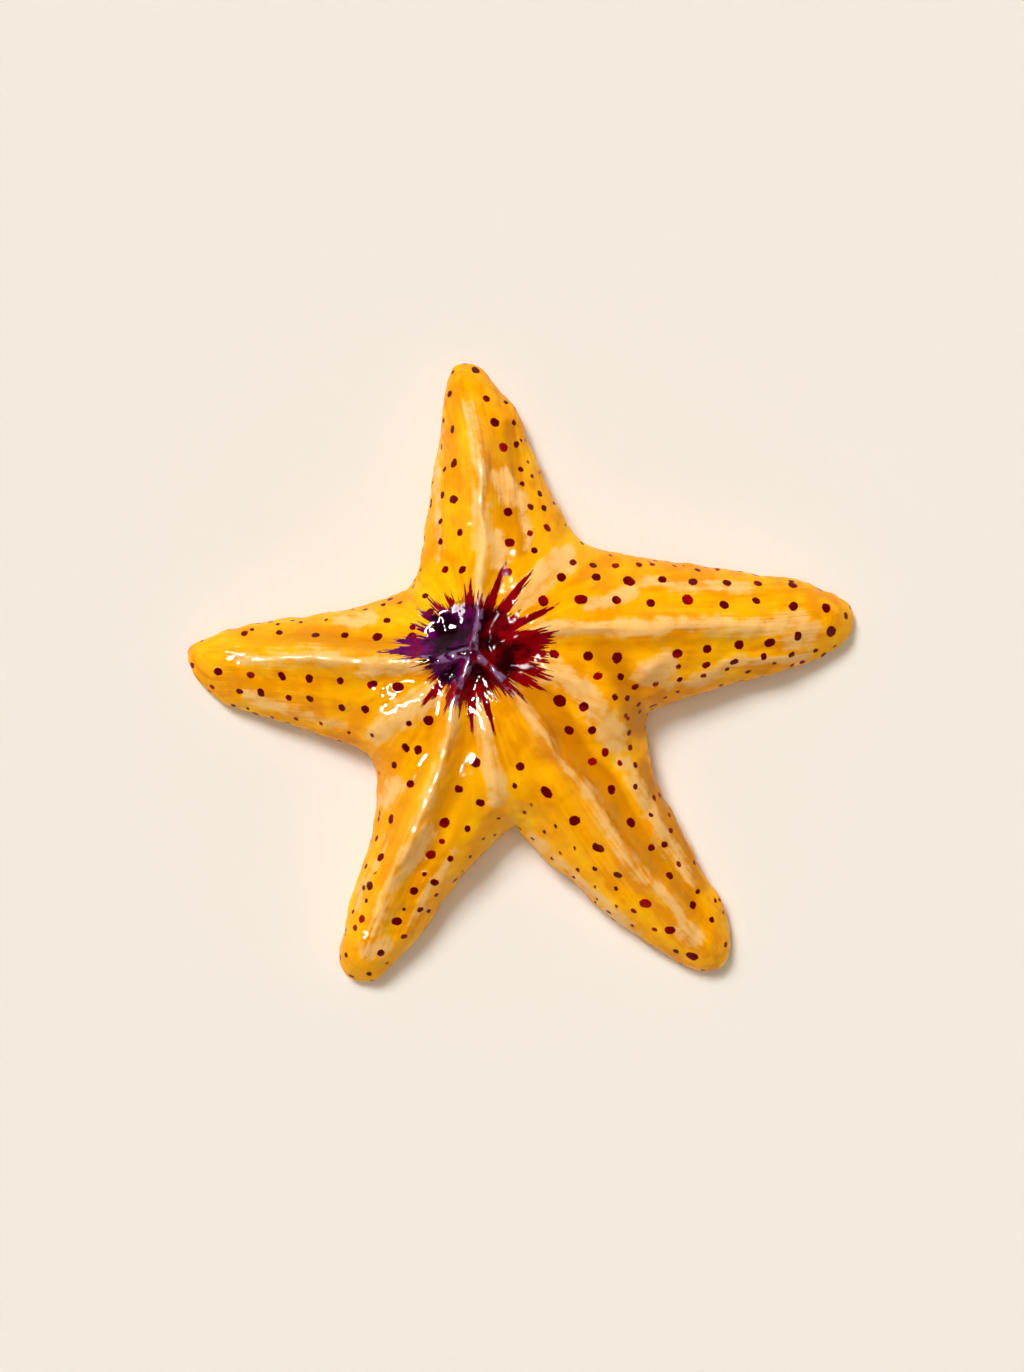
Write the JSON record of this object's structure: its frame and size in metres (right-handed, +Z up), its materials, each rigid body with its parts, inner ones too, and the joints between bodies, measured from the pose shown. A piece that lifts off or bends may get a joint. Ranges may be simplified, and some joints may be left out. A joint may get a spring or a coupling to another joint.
{
  "type": "painted dried starfish",
  "caption": "Dried starfish with ridged tapering arms, painted yellow with dark red dots and varnished; lies flat on its underside.",
  "frame": {"origin": "on the surface it rests on, under the middle of its bounding box", "axes": "+X along the long arm on its right, +Y towards the top arm, +Z up, away from the mouth side"},
  "size_m": [0.1806, 0.1676, 0.0287],
  "materials": {
    "painted_skin": "dried skin brushed with yellow and orange acrylic paint, cream ridges, dark red dots and a purple burst at the centre, under glossy varnish"
  },
  "bodies": {
    "root": {"starfish": "painted_skin"}
  },
  "joints": []
}
